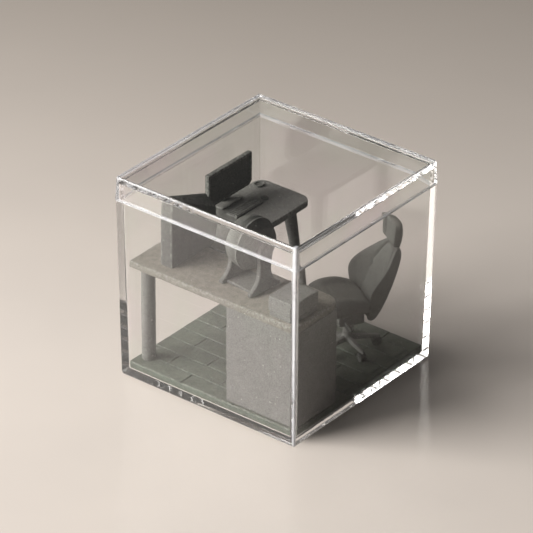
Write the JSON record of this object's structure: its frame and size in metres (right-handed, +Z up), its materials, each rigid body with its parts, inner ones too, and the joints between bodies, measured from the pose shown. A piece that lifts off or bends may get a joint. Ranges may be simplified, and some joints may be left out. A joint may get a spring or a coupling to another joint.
{
  "type": "office diorama in a clear display cube",
  "caption": "Clear plastic display cube with a lift-off lid, holding a grey resin miniature office: desk, side table, monitor, round head in a yoke and swivel chair.",
  "frame": {"origin": "centre of the cube's underside", "axes": "+Z up through the lid, +X along the front desk to the visitor's right, -Y towards the front desk side"},
  "size_m": [0.06, 0.06, 0.06],
  "materials": {
    "clear_plastic": "clear polystyrene, polished",
    "resin_grey": "cast grey resin, matte with fine grain and pale specks",
    "resin_floor": "cast grey resin, matte, scored as planks",
    "resin_light": "cast grey resin, matte, slightly lighter",
    "resin_dark": "cast grey resin, matte, slightly darker"
  },
  "bodies": {
    "cube": {"case_body": "clear_plastic", "floor_plate": "resin_floor", "desk_top": "resin_grey", "desk_leg": "resin_grey", "desk_pedestal": "resin_grey", "side_table_top": "resin_grey", "side_table_leg_right": "resin_grey", "side_table_leg_left": "resin_grey", "file_tower": "resin_grey", "monitor_panel": "resin_dark", "monitor_neck": "resin_grey", "monitor_foot": "resin_grey", "keyboard": "resin_grey", "mouse": "resin_grey", "cable_grommet": "resin_grey", "box_file_lower": "resin_grey", "box_file_upper": "resin_grey", "yoke_base": "resin_light", "yoke_cheek_left": "resin_light", "yoke_cheek_right": "resin_light", "chair_star_base": "resin_grey", "chair_column_outer": "resin_grey", "chair_castor_1": "resin_dark", "chair_castor_2": "resin_dark", "chair_castor_3": "resin_dark", "chair_castor_4": "resin_dark", "chair_castor_5": "resin_dark"},
    "lid": {"case_lid": "clear_plastic"},
    "chair": {"chair_column_inner": "resin_grey", "chair_mechanism": "resin_grey", "chair_seat": "resin_grey", "chair_backrest": "resin_grey", "chair_headrest_post": "resin_grey", "chair_headrest": "resin_grey"},
    "head": {"head_shell": "resin_light", "head_rim": "resin_dark", "head_housing": "resin_dark"}
  },
  "joints": [
    {"name": "lid_lift", "type": "slide", "parent": "cube", "child": "lid", "axis": [0, 0, 1], "range_m": [0, 0.02]},
    {"name": "chair_swivel", "type": "hinge", "parent": "cube", "child": "chair", "pos_m": [0.0124, 0.0135, 0.0124], "axis": [0, 0, 1], "range_deg": [-296, 3]},
    {"name": "head_tilt", "type": "hinge", "parent": "cube", "child": "head", "pos_m": [0.0048, -0.0164, 0.0467], "axis": [0.9945, -0.1045, 0], "range_deg": [-20, 20]}
  ]
}
